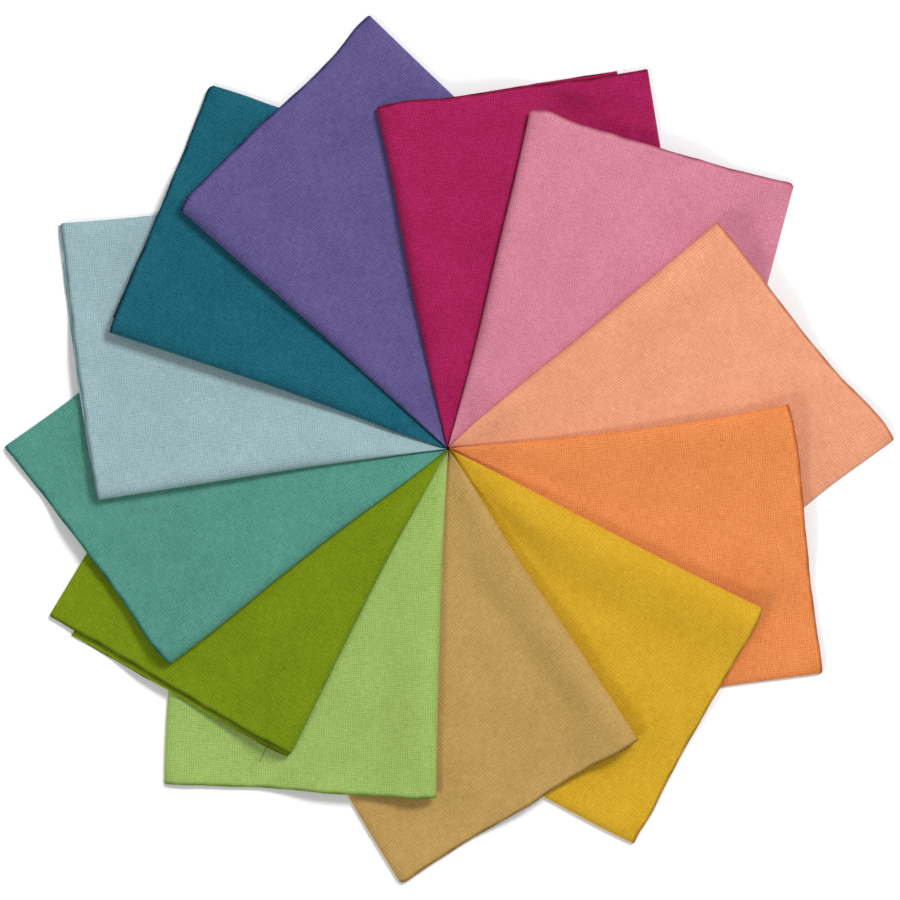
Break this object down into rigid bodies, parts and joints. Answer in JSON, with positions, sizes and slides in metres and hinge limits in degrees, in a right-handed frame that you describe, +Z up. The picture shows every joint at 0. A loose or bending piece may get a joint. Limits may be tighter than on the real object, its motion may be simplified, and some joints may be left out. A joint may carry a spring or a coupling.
{
  "type": "fat quarter bundle, folded and fanned",
  "caption": "Solid-colour cotton cuts, each folded to a flat packet and laid in a closed fan where every packet overlaps the one before it.",
  "frame": {"origin": "on the surface that the fan lies on, under the middle of its box; the corners of the packets meet within 1.2 mm of it", "axes": "+Z up, out of the cloth; +X to the right and +Y to the top of the fan as it is seen from above"},
  "size_m": [0.5798, 0.5642, 0.0225],
  "materials": {
    "cotton_teal": "plain woven, matt",
    "cotton_purple": "plain woven, matt",
    "cotton_magenta": "plain woven, matt",
    "cotton_pink": "plain woven, matt",
    "cotton_peach": "plain woven, matt",
    "cotton_orange": "plain woven, matt",
    "cotton_yellow": "plain woven, matt",
    "cotton_beige": "plain woven, matt",
    "cotton_leaf": "plain woven, matt",
    "cotton_lime": "plain woven, matt",
    "cotton_mint": "plain woven, matt",
    "cotton_aqua": "plain woven, matt"
  },
  "bodies": {
    "root": {"packet_teal": "cotton_teal", "packet_purple": "cotton_purple", "packet_magenta": "cotton_magenta", "packet_pink": "cotton_pink", "packet_peach": "cotton_peach", "packet_orange": "cotton_orange", "packet_yellow": "cotton_yellow", "packet_beige": "cotton_beige", "packet_leaf": "cotton_leaf", "packet_lime": "cotton_lime", "packet_mint": "cotton_mint", "packet_aqua": "cotton_aqua"}
  },
  "joints": []
}
